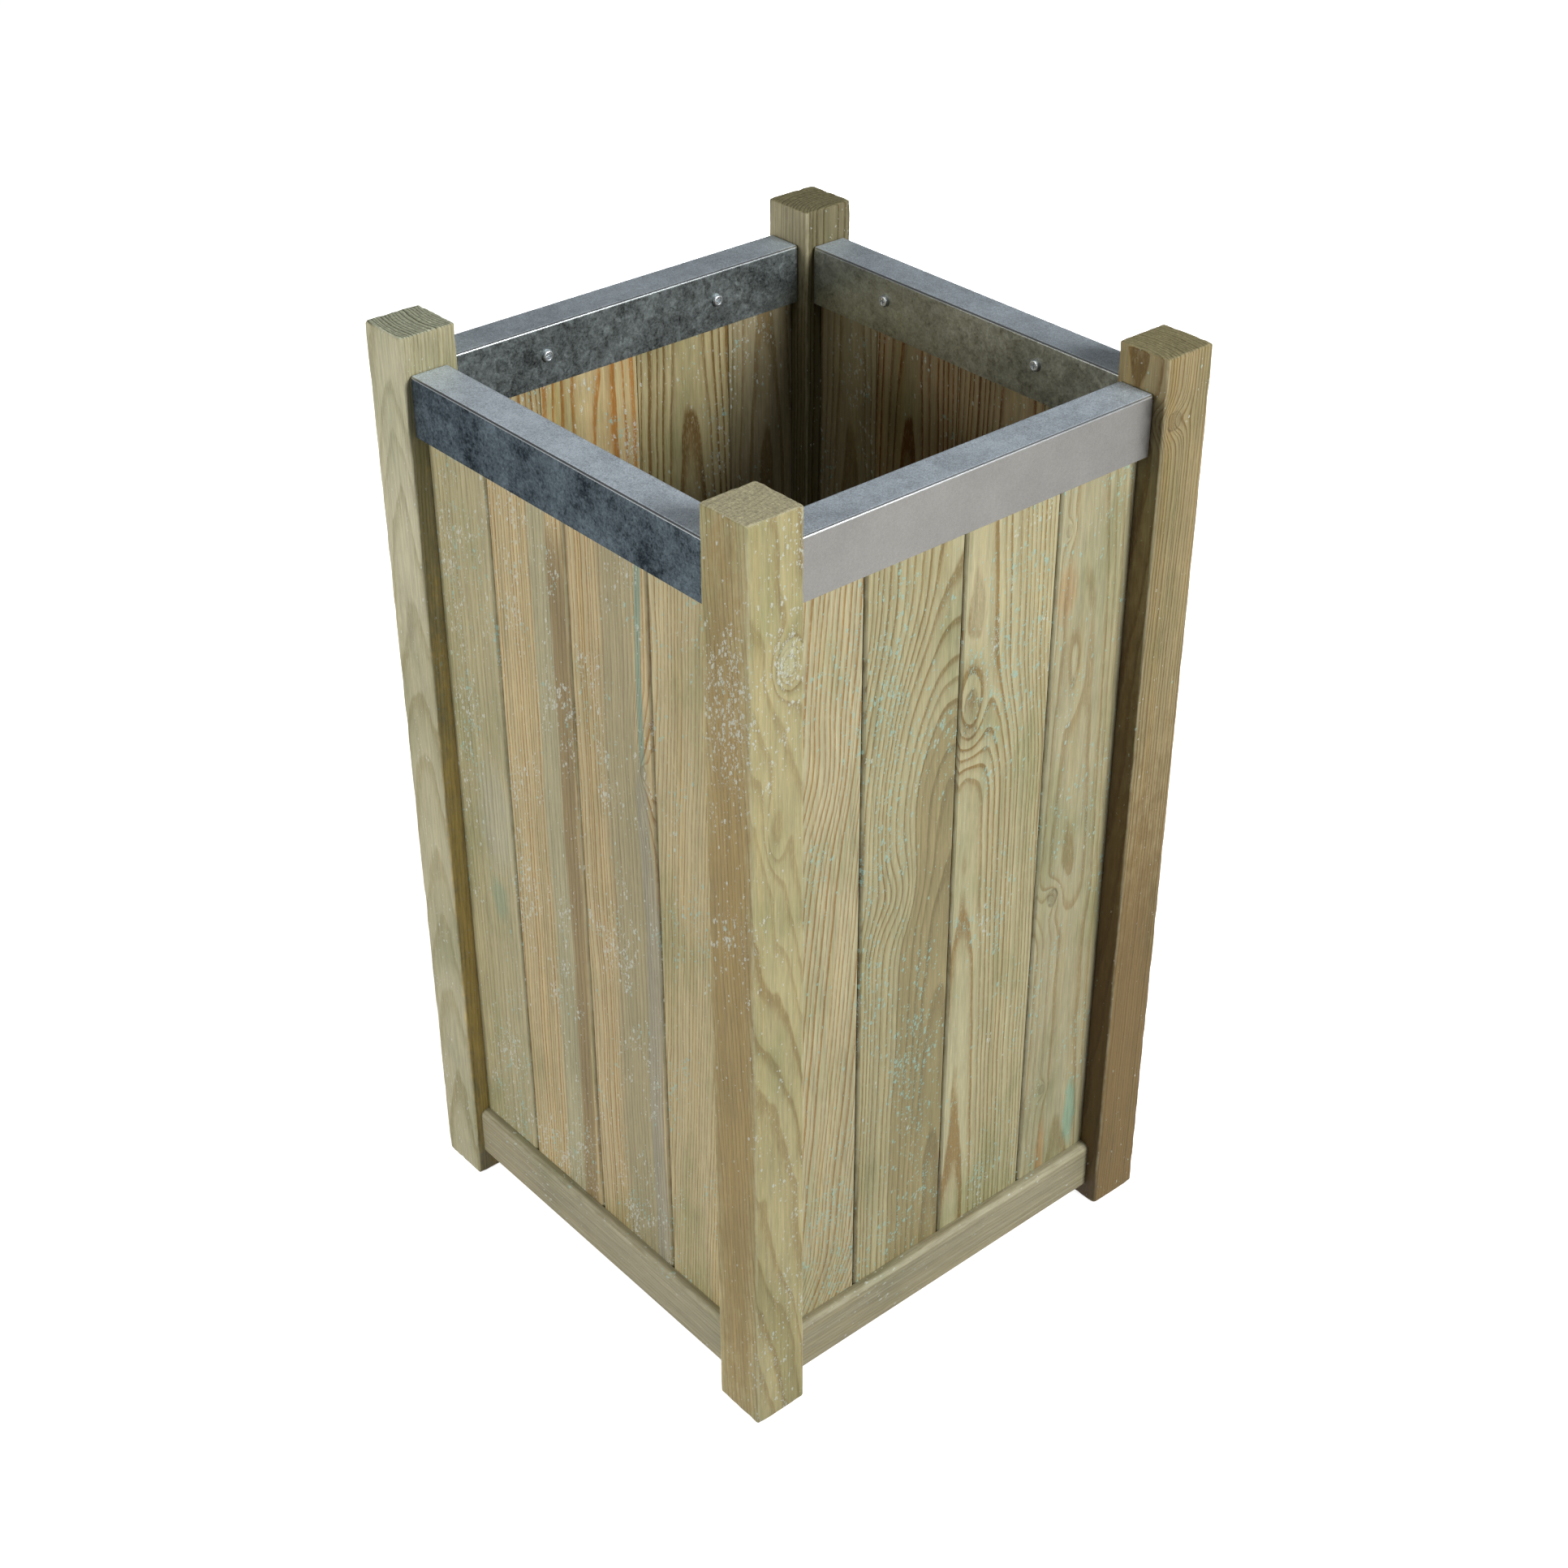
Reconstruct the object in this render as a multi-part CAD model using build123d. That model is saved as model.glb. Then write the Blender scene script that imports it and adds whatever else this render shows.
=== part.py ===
from build123d import *
import os

# A square timber planter, in millimetres. +Z is up and the origin is the middle of its footprint, on the ground.
# Four posts carry four identical sides. A side is a bottom rail and a top rail, tenoned into the posts,
# with tongued and grooved boards standing in the rails' grooves and a folded steel rim over the top rail.
# A slatted floor lies on two battens between the bottom rails.

# Overall size
WIDTH = 433
HEIGHT = 796

# Posts
POST = 48
POST_ARRIS = 4
POST_END_ARRIS = 2
SPAN = WIDTH - 2 * POST

# Steel rim: an upturned channel folded from sheet
RIM_TOP = 766.5
RIM_WIDTH = 33
RIM_HEIGHT = 48
SHEET = 1.2
RIM_BEND = 2.2
RIM_END_GAP = 1.2
RELIEF_LENGTH = 0.7
RELIEF_DROP = 4
RIM_CLEARANCE = 0.1

# Rails, all of one section
RAIL_WIDTH = RIM_WIDTH - 2 * SHEET - 2 * RIM_CLEARANCE
RAIL_HEIGHT = 45
RAIL_TOP_ARRIS = 6
RAIL_ARRIS = 1.5
GROOVE_DEPTH = 8
GROOVE_CLEARANCE = 0.4

# Stub tenons on the rails' ends, and their mortises in the posts
TENON_LENGTH = 12
TENON_THICKNESS = 14
TENON_HEIGHT = 26
TENON_LIFT = 6
MORTISE_CLEARANCE = 0.2
MORTISE_END_GAP = 1

# Boards, tongued and grooved with a V at each joint on the outside
BOARD_COVER = 93.5
BOARD_THICKNESS = 14
BOARD_SETBACK = 10.3
BOARD_END_GAP = 1
BOARD_EDGE_GAP = 0.4
JOINT_GAP = 0.8
V_DEPTH = 2
TONGUE_THICKNESS = 4
TONGUE_LENGTH = 5
TONGUE_CLEARANCE = 0.2
BOARDS_PER_SIDE = 4

# Floor: slats across the planter on two battens
BATTEN_WIDTH = 20
BATTEN_HEIGHT = 22
BATTEN_BOTTOM = 22
SLAT_THICKNESS = 18
SLAT_COUNT = 4
SLAT_GAP = 8
SLAT_END_GAP = 2
FLOOR_EDGE_GAP = 2
FLOOR_ARRIS = 1.5

# Screws
PAN_HEAD_RADIUS = 4.75
PAN_HEAD_HEIGHT = 2.6
PAN_HEAD_ARRIS = 1.4
PAN_DISH_RADIUS = 3.1
PAN_DISH_DEPTH = 0.5
RECESS_LENGTH = 4.6
RECESS_WIDTH = 1.1
RECESS_DEPTH = 1.6
SHANK_RADIUS = 2.1
HOLE_CLEARANCE = 0.1
TIP_LENGTH = 4
RIM_SCREW_LENGTH = 25
RIM_SCREW_SPREAD = 83
SHEET_HOLE_RADIUS = 2.5
FLOOR_SCREW_LENGTH = 35
FLOOR_HEAD_RADIUS = 4
FLOOR_HEAD_HEIGHT = 3
BATTEN_SCREW_LENGTH = 40
BATTEN_SCREW_SPREAD = 120

# Each side is drawn with its outside facing -Y and then turned about Z to where it stands.
# inset: from the posts' outer faces back to the rim's outer face
# rail_bottom: height of the underside of the bottom rail
# first_joint: the first board joint along the side, from its middle
# screw_drop: from the rim's top down to its screws
SIDES = {
    "front": {"turn": 0, "inset": 5.5, "rail_bottom": 24.5, "first_joint": -96, "screw_drop": 24},
    "right": {"turn": 90, "inset": 11, "rail_bottom": 16, "first_joint": -96.5, "screw_drop": 24},
    "back": {"turn": 180, "inset": 8, "rail_bottom": 20, "first_joint": -87, "screw_drop": 20},
    "left": {"turn": 270, "inset": 4.5, "rail_bottom": 20, "first_joint": -101, "screw_drop": 24},
}
POSTS = {
    "post_front_left": (-1, -1),
    "post_front_right": (1, -1),
    "post_back_right": (1, 1),
    "post_back_left": (-1, 1),
}


def block(low, high):
    """A box between two opposite corners."""
    size = [b - a for a, b in zip(low, high)]
    middle = [(a + b) / 2 for a, b in zip(low, high)]
    return Pos(*middle) * Box(*size)


def on_side(shape, side):
    """Turns what was drawn for the front round to its own side."""
    return Rot(0, 0, SIDES[side]["turn"]) * shape


def extrude_along_side(profile, low, high):
    """Extrudes a profile drawn as (Y, Z) from X = low to X = high."""
    plane = Plane(origin=(low, 0, 0), x_dir=(0, 1, 0), z_dir=(1, 0, 0))
    return extrude(plane * profile, high - low)


def rim_face(side):
    """Y of the outer face of a side's rim, as drawn for the front."""
    return -WIDTH / 2 + SIDES[side]["inset"]


def rail_face(side):
    """Y of the outer face of a side's rails."""
    return rim_face(side) + SHEET + RIM_CLEARANCE


def board_face(side):
    """Y of the outer face of a side's boards."""
    return rim_face(side) + BOARD_SETBACK


def tenon_middle(side):
    """Y of the middle of a side's tenons."""
    return rail_face(side) + RAIL_WIDTH / 2


def bottom_rail_top(side):
    """Height of the top of a side's bottom rail."""
    return SIDES[side]["rail_bottom"] + RAIL_HEIGHT


def top_rail_bottom():
    """Height of the underside of the top rails."""
    return RIM_TOP - SHEET - RIM_CLEARANCE - RAIL_HEIGHT


def tenon_heights(side):
    """The lowest and highest Z of the tenons of a side's bottom rail and of its top rail."""
    bottom = SIDES[side]["rail_bottom"] + TENON_LIFT
    top = top_rail_bottom() + RAIL_HEIGHT - TENON_LIFT - TENON_HEIGHT
    return [(bottom, bottom + TENON_HEIGHT), (top, top + TENON_HEIGHT)]


def tenon_boxes(side, side_room, end_room):
    """Both ends' tenons at both heights, or with some room round them the mortises that take them."""
    half = TENON_THICKNESS / 2 + side_room
    middle = tenon_middle(side)
    boxes = []
    for low, high in tenon_heights(side):
        for end in (-1, 1):
            near = end * SPAN / 2
            far = end * (SPAN / 2 + TENON_LENGTH + end_room)
            corner_low = (min(near, far), middle - half, low - side_room)
            corner_high = (max(near, far), middle + half, high + side_room)
            boxes.append(block(corner_low, corner_high))
    return boxes


def make_post(x_sign, y_sign):
    """A square post with eased edges and the mortises of the two sides that meet in it."""
    centre = WIDTH / 2 - POST / 2
    post = Pos(x_sign * centre, y_sign * centre, HEIGHT / 2) * Box(POST, POST, HEIGHT)
    post = fillet(post.edges().filter_by(Axis.Z), POST_ARRIS)
    ends = post.edges().group_by(Axis.Z)
    post = fillet(ends[0] + ends[-1], POST_END_ARRIS)
    for side in SIDES:
        for mortise in tenon_boxes(side, MORTISE_CLEARANCE, MORTISE_END_GAP):
            placed = on_side(mortise, side)
            middle = placed.center()
            if middle.X * x_sign > SPAN / 2 - POST and middle.Y * y_sign > SPAN / 2 - POST:
                post -= placed
    return post


def rail_bar(side):
    """A bare bottom rail: one section between the posts, its outer top edge well rounded, grooved on top."""
    face = rail_face(side)
    top = bottom_rail_top(side)
    bottom = top - RAIL_HEIGHT
    section = Pos(face + RAIL_WIDTH / 2, bottom + RAIL_HEIGHT / 2) * Rectangle(RAIL_WIDTH, RAIL_HEIGHT)
    outer = section.vertices().sort_by(Axis.X)[:2].sort_by(Axis.Y)
    inner = section.vertices().sort_by(Axis.X)[2:]
    section = fillet(outer[1], RAIL_TOP_ARRIS)
    corners = [v for v in section.vertices() if abs(v.Y - bottom) < 1e-6 or v in inner]
    section = fillet(corners, RAIL_ARRIS)
    bar = extrude_along_side(section, -SPAN / 2, SPAN / 2)
    room = GROOVE_CLEARANCE / 2
    groove_low = (-SPAN, board_face(side) - room, top - GROOVE_DEPTH)
    groove_high = (SPAN, board_face(side) + BOARD_THICKNESS + room, top + 1)
    return bar - block(groove_low, groove_high)


def make_bottom_rail(side):
    """A bottom rail with its tenons and the pilot holes of any batten screws."""
    rail = rail_bar(side)
    for tenon in tenon_boxes(side, 0, 0)[:2]:
        rail += tenon
    rail = on_side(rail, side)
    if side in ("left", "right"):
        for screw in batten_screw_shafts(side, HOLE_CLEARANCE):
            rail -= screw
    return rail


def make_top_rail(side):
    """A top rail: the same section upside down, with the pilot holes of the rim screws."""
    middle = rail_face(side) + RAIL_WIDTH / 2
    level = (bottom_rail_top(side) + top_rail_bottom()) / 2
    rail = rail_bar(side).mirror(Plane.XY.offset(level))
    for tenon in tenon_boxes(side, 0, 0)[2:]:
        rail += tenon
    for x, z in rim_screw_places(side):
        rail -= screw_shaft((x, middle + RAIL_WIDTH / 2, z), (0, -1, 0), RIM_SCREW_LENGTH, HOLE_CLEARANCE)
    return on_side(rail, side)


def make_rim(side):
    """The folded channel over a top rail, with bend reliefs at its ends and holes for its screws."""
    face = rim_face(side)
    low = RIM_TOP - RIM_HEIGHT
    outside = Pos(face + RIM_WIDTH / 2, low + RIM_HEIGHT / 2) * Rectangle(RIM_WIDTH, RIM_HEIGHT)
    outside = fillet(outside.vertices().group_by(Axis.Y)[-1], RIM_BEND)
    inside_width = RIM_WIDTH - 2 * SHEET
    inside_height = RIM_HEIGHT - SHEET
    inside = Pos(face + RIM_WIDTH / 2, low + inside_height / 2) * Rectangle(inside_width, inside_height)
    inside = fillet(inside.vertices().group_by(Axis.Y)[-1], RIM_BEND - SHEET)
    half = SPAN / 2 - RIM_END_GAP
    rim = extrude_along_side(outside - inside, -half, half)
    for end in (-half, half):
        for edge in (face, face + RIM_WIDTH):
            notch_low = (end - RELIEF_LENGTH, edge - SHEET, RIM_TOP - RELIEF_DROP)
            notch_high = (end + RELIEF_LENGTH, edge + SHEET, RIM_TOP - SHEET)
            rim -= block(notch_low, notch_high)
    for x, z in rim_screw_places(side):
        hole = Pos(x, face + RIM_WIDTH, z) * Rot(90, 0, 0) * Cylinder(SHEET_HOLE_RADIUS, 3 * SHEET)
        rim -= hole
    return on_side(rim, side)


def board_edges(side):
    """Where a side's joints and outer edges fall along it."""
    limit = SPAN / 2 - BOARD_EDGE_GAP
    joints = [SIDES[side]["first_joint"] + BOARD_COVER * i for i in range(BOARDS_PER_SIDE - 1)]
    return [-limit, *joints, limit]


def make_board(side, index):
    """One board: a groove on its low edge and a tongue on its high edge, except where it meets a post."""
    edges = board_edges(side)
    has_groove = index > 0
    has_tongue = index < BOARDS_PER_SIDE - 1
    low = edges[index] + (JOINT_GAP / 2 if has_groove else 0)
    high = edges[index + 1] - (JOINT_GAP / 2 if has_tongue else 0)
    face = board_face(side)
    middle = face + BOARD_THICKNESS / 2
    section = Pos((low + high) / 2, middle) * Rectangle(high - low, BOARD_THICKNESS)
    outer = section.vertices().group_by(Axis.Y)[0].sort_by(Axis.X)
    chamfered = []
    if has_groove:
        chamfered.append(outer[0])
    if has_tongue:
        chamfered.append(outer[-1])
    section = chamfer(chamfered, V_DEPTH)
    if has_groove:
        depth = TONGUE_LENGTH + TONGUE_CLEARANCE
        section -= Pos(low + depth / 2, middle) * Rectangle(depth, TONGUE_THICKNESS + 2 * TONGUE_CLEARANCE)
    if has_tongue:
        length = TONGUE_LENGTH + JOINT_GAP
        section += Pos(high + length / 2, middle) * Rectangle(length, TONGUE_THICKNESS)
    bottom = bottom_rail_top(side) - GROOVE_DEPTH
    top = top_rail_bottom() + GROOVE_DEPTH - BOARD_END_GAP
    board = extrude(Pos(0, 0, bottom) * section, top - bottom)
    return on_side(board, side)


def screw_shaft(start, direction, length, room=0.0):
    """A plain shank with a pointed end, from start along direction. With room it is the hole for one."""
    radius = SHANK_RADIUS + room
    straight = length - TIP_LENGTH
    place = Plane(origin=start, z_dir=direction)
    shank = extrude(place * Circle(radius), straight + room)
    tip_base = place.offset(straight + room)
    tip_end = place.offset(length + room)
    return shank + loft([tip_base * Circle(radius), tip_end * Circle(radius / 5)])


def cross_recess(place):
    """The tool for a screw's cross recess, cut down from the plane of the head's top."""
    bars = Rectangle(RECESS_LENGTH, RECESS_WIDTH) + Rectangle(RECESS_WIDTH, RECESS_LENGTH)
    return extrude(place * bars, -RECESS_DEPTH, taper=8)


def pan_screw(start, direction, length):
    """A pan-head screw: the head stands against the surface at start, and the shank goes in along direction."""
    place = Plane(origin=start, z_dir=direction)
    out = Plane(origin=start, z_dir=tuple(-c for c in direction))
    head = extrude(out * Circle(PAN_HEAD_RADIUS), PAN_HEAD_HEIGHT)
    face = out.offset(PAN_HEAD_HEIGHT)
    rim_edge = head.edges().filter_by(GeomType.CIRCLE).sort_by(lambda e: (e.center() - face.origin).length)[0]
    head = fillet(rim_edge, PAN_HEAD_ARRIS)
    head -= extrude(face * Circle(PAN_DISH_RADIUS), -PAN_DISH_DEPTH)
    head -= cross_recess(face.offset(-PAN_DISH_DEPTH))
    return head + screw_shaft(place.origin, direction, length)


def countersunk_screw(start, direction, length):
    """A countersunk screw with the top of its head flush at start."""
    place = Plane(origin=start, z_dir=direction)
    head = loft([place * Circle(FLOOR_HEAD_RADIUS), place.offset(FLOOR_HEAD_HEIGHT) * Circle(SHANK_RADIUS)])
    out = Plane(origin=start, z_dir=tuple(-c for c in direction))
    return head + screw_shaft(start, direction, length) - cross_recess(out)


def countersink(start, direction, length):
    """The hole for a countersunk screw."""
    place = Plane(origin=start, z_dir=direction)
    wide = FLOOR_HEAD_RADIUS + HOLE_CLEARANCE
    narrow = SHANK_RADIUS + HOLE_CLEARANCE
    cone = loft([place * Circle(wide), place.offset(FLOOR_HEAD_HEIGHT) * Circle(narrow)])
    return cone + screw_shaft(start, direction, length, HOLE_CLEARANCE)


def rim_screw_places(side):
    """X and Z of a side's two rim screws."""
    z = RIM_TOP - SIDES[side]["screw_drop"]
    return [(-RIM_SCREW_SPREAD, z), (RIM_SCREW_SPREAD, z)]


def make_rim_screws():
    """Two pan-head screws through the inner flange of each rim."""
    screws = []
    for side in SIDES:
        flange = rim_face(side) + RIM_WIDTH
        for x, z in rim_screw_places(side):
            screws.append(on_side(pan_screw((x, flange, z), (0, -1, 0), RIM_SCREW_LENGTH), side))
    return Compound(children=screws)


def rail_inner_x(side):
    """X of the inner face of the left or right bottom rail."""
    inner = -(rail_face(side) + RAIL_WIDTH)
    return inner if side == "right" else -inner


def batten_box(side):
    """The low and high corners of the batten on the left or right rail."""
    wall = rail_inner_x(side)
    inward = -1 if side == "right" else 1
    free = wall + inward * BATTEN_WIDTH
    half = SPAN / 2 - FLOOR_EDGE_GAP
    low = (min(wall, free), -half, BATTEN_BOTTOM)
    high = (max(wall, free), half, BATTEN_BOTTOM + BATTEN_HEIGHT)
    return low, high


def batten_screw_starts(side):
    """Where the batten screws' heads lie and which way they go."""
    low, high = batten_box(side)
    outward = (1, 0, 0) if side == "right" else (-1, 0, 0)
    x = low[0] if side == "right" else high[0]
    z = BATTEN_BOTTOM + BATTEN_HEIGHT / 3
    return [((x, y, z), outward) for y in (-BATTEN_SCREW_SPREAD, 0, BATTEN_SCREW_SPREAD)]


def batten_screw_shafts(side, room):
    """The batten screws' shanks, or with room the holes for them."""
    starts = batten_screw_starts(side)
    return [screw_shaft(start, way, BATTEN_SCREW_LENGTH, room) for start, way in starts]


def make_batten(side):
    """A batten along the inside of a bottom rail, with its screws' holes and the floor screws' pilots."""
    low, high = batten_box(side)
    batten = block(low, high)
    batten = chamfer(batten.edges().filter_by(Axis.Y), FLOOR_ARRIS)
    for start, way in batten_screw_starts(side):
        batten -= countersink(start, way, BATTEN_SCREW_LENGTH)
    for index in range(SLAT_COUNT):
        for start in floor_screw_starts(index):
            batten -= screw_shaft(start, (0, 0, -1), FLOOR_SCREW_LENGTH, HOLE_CLEARANCE)
    return batten


def slat_range(index):
    """The lowest and highest Y of a floor slat."""
    depth = SPAN - 2 * FLOOR_EDGE_GAP
    width = (depth - (SLAT_COUNT - 1) * SLAT_GAP) / SLAT_COUNT
    low = -depth / 2 + index * (width + SLAT_GAP)
    return low, low + width


def floor_screw_starts(index):
    """The four screws of a slat, two over each batten, flush with its top."""
    low, high = slat_range(index)
    top = BATTEN_BOTTOM + BATTEN_HEIGHT + SLAT_THICKNESS
    starts = []
    for side in ("left", "right"):
        corner_low, corner_high = batten_box(side)
        x = (corner_low[0] + corner_high[0]) / 2
        for y in (low + (high - low) / 4, high - (high - low) / 4):
            starts.append((x, y, top))
    return starts


def make_slat(index):
    """A floor slat from the left rail to the right rail, with its screw holes."""
    low, high = slat_range(index)
    bottom = BATTEN_BOTTOM + BATTEN_HEIGHT
    left = rail_inner_x("left") + SLAT_END_GAP
    right = rail_inner_x("right") - SLAT_END_GAP
    slat = block((left, low, bottom), (right, high, bottom + SLAT_THICKNESS))
    slat = chamfer(slat.edges().filter_by(Axis.X), FLOOR_ARRIS)
    for start in floor_screw_starts(index):
        slat -= countersink(start, (0, 0, -1), FLOOR_SCREW_LENGTH)
    return slat


def make_floor_screws():
    """Two countersunk screws at each end of each slat."""
    starts = [start for index in range(SLAT_COUNT) for start in floor_screw_starts(index)]
    return Compound(children=[countersunk_screw(start, (0, 0, -1), FLOOR_SCREW_LENGTH) for start in starts])


def make_batten_screws():
    """Three countersunk screws through each batten into its rail."""
    starts = batten_screw_starts("left") + batten_screw_starts("right")
    return Compound(children=[countersunk_screw(start, way, BATTEN_SCREW_LENGTH) for start, way in starts])


def make_all():
    """Every node's name and shape."""
    nodes = {name: make_post(*signs) for name, signs in POSTS.items()}
    for side in SIDES:
        nodes[f"bottom_rail_{side}"] = make_bottom_rail(side)
        nodes[f"top_rail_{side}"] = make_top_rail(side)
        nodes[f"rim_{side}"] = make_rim(side)
        for index in range(BOARDS_PER_SIDE):
            nodes[f"board_{side}_{index + 1}"] = make_board(side, index)
    nodes["rim_screws"] = make_rim_screws()
    for side in ("left", "right"):
        nodes[f"floor_batten_{side}"] = make_batten(side)
    for index in range(SLAT_COUNT):
        nodes[f"floor_slat_{index + 1}"] = make_slat(index)
    nodes["floor_screws"] = make_floor_screws()
    nodes["batten_screws"] = make_batten_screws()
    return nodes


os.makedirs("parts", exist_ok=True)
for node, shape in make_all().items():
    export_step(shape, f"parts/{node}.step")
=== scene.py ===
import math

import bpy
from mathutils import Matrix, Vector, noise


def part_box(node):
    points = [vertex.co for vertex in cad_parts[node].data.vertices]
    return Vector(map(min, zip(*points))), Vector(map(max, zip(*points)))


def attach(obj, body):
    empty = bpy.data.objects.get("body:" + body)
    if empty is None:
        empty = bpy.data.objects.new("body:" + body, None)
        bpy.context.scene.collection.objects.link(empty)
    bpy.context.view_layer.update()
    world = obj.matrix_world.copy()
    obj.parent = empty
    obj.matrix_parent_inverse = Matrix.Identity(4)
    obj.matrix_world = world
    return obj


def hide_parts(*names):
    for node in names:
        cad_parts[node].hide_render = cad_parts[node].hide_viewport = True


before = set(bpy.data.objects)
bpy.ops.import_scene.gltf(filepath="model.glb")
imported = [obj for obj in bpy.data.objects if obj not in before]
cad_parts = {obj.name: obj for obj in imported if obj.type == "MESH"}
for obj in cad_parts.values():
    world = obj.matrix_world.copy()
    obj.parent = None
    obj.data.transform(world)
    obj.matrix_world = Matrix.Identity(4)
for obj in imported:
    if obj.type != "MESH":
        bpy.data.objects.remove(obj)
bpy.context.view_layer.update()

MM = 0.001
UP = (0, 0, 1)
OUTWARD = {"front": (0, -1, 0), "right": (1, 0, 0), "back": (0, 1, 0), "left": (-1, 0, 0)}
ALONG_SIDE = {"front": (1, 0, 0), "right": (0, 1, 0), "back": (-1, 0, 0), "left": (0, -1, 0)}
SIDE_SEED = {"front": 5, "right": 5, "back": 4, "left": 4}


# ---------------------------------------------------------------- camera, floor and light

CAMERA_PLACE = Vector((1.2402, -1.0624, 1.4829))
CAMERA_AZIMUTH = math.radians(49.471)
CAMERA_ELEVATION = math.radians(33.374)
CAMERA_ROLL = math.radians(-0.246)
CAMERA_LENS = 55.794
CAMERA_REACH = 50

FLOOR_HALF = 12
FLOOR_GLOW = 0.88
AMBIENT_LIGHT = 0.055

# Each softbox: its place, what it faces, its width and height, its watts and its colour.
SOFTBOXES = {
    "softbox_front": ((-0.7, -3.2, 1.0), (0, 0, 0.4), 1.5, 1.5, 74, (1, 0.975, 0.94)),
    "softbox_right": ((2.85, 0.85, 1.9), (0, 0, 0.45), 1.0, 1.0, 102, (1, 0.99, 0.97)),
    "softbox_behind": ((-2.4, 2.3, 0.3), (0, 0, 0.35), 1.5, 0.7, 90, (1, 0.99, 0.97)),
    "softbox_top": ((0.5, -0.7, 3.2), (0, 0, 0.4), 1.8, 1.8, 10, (1, 1, 1)),
}


def add_camera():
    """The camera looks down on the corner between the front and the right side."""
    az, el, roll = CAMERA_AZIMUTH, CAMERA_ELEVATION, CAMERA_ROLL
    forward = Vector((-math.sin(az) * math.cos(el), math.cos(az) * math.cos(el), -math.sin(el)))
    level = Vector((math.cos(az), math.sin(az), 0))
    upright = level.cross(forward)
    right = level * math.cos(roll) + upright * math.sin(roll)
    up = upright * math.cos(roll) - level * math.sin(roll)
    data = bpy.data.cameras.new("camera")
    data.lens = CAMERA_LENS
    data.clip_end = CAMERA_REACH
    camera = bpy.data.objects.new("camera", data)
    turn = Matrix((right, up, -forward)).transposed().to_4x4()
    camera.matrix_world = Matrix.Translation(CAMERA_PLACE) @ turn
    bpy.context.scene.collection.objects.link(camera)
    bpy.context.scene.camera = camera


def add_softbox(name, place, target, width, height, watts, colour):
    """A rectangular area light at place, facing target."""
    data = bpy.data.lights.new(name, "AREA")
    data.shape = "RECTANGLE"
    data.size = width
    data.size_y = height
    data.energy = watts
    data.color = colour
    lamp = bpy.data.objects.new(name, data)
    lamp.location = place
    lamp.rotation_euler = (Vector(target) - Vector(place)).to_track_quat("-Z", "Y").to_euler()
    bpy.context.scene.collection.objects.link(lamp)


def add_floor():
    """A large sheet of pale paper that glows a little, so that it stays white to its far edge."""
    half = FLOOR_HALF
    corners = [(-half, -half, 0), (half, -half, 0), (half, half, 0), (-half, half, 0)]
    mesh = bpy.data.meshes.new("floor")
    mesh.from_pydata(corners, [], [(0, 1, 2, 3)])
    floor = bpy.data.objects.new("floor", mesh)
    bpy.context.scene.collection.objects.link(floor)
    material = bpy.data.materials.new("floor_paper")
    material.use_nodes = True
    shader = material.node_tree.nodes["Principled BSDF"]
    shader.inputs["Base Color"].default_value = (0.92, 0.92, 0.92, 1)
    shader.inputs["Roughness"].default_value = 0.9
    shader.inputs["Emission Color"].default_value = (1, 1, 1, 1)
    shader.inputs["Emission Strength"].default_value = FLOOR_GLOW
    mesh.materials.append(material)
    floor.visible_diffuse = False


def add_studio():
    """A softbox square to each side that the camera sees, a low one behind, a weak one above, and low ambient light."""
    world = bpy.data.worlds.new("studio")
    world.use_nodes = True
    background = world.node_tree.nodes["Background"]
    background.inputs["Color"].default_value = (1, 1, 1, 1)
    background.inputs["Strength"].default_value = AMBIENT_LIGHT
    bpy.context.scene.world = world
    for name, softbox in SOFTBOXES.items():
        add_softbox(name, *softbox)
    bpy.context.scene.view_settings.view_transform = "Standard"


add_camera()
add_floor()
add_studio()


# ---------------------------------------------------------------- node trees

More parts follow.
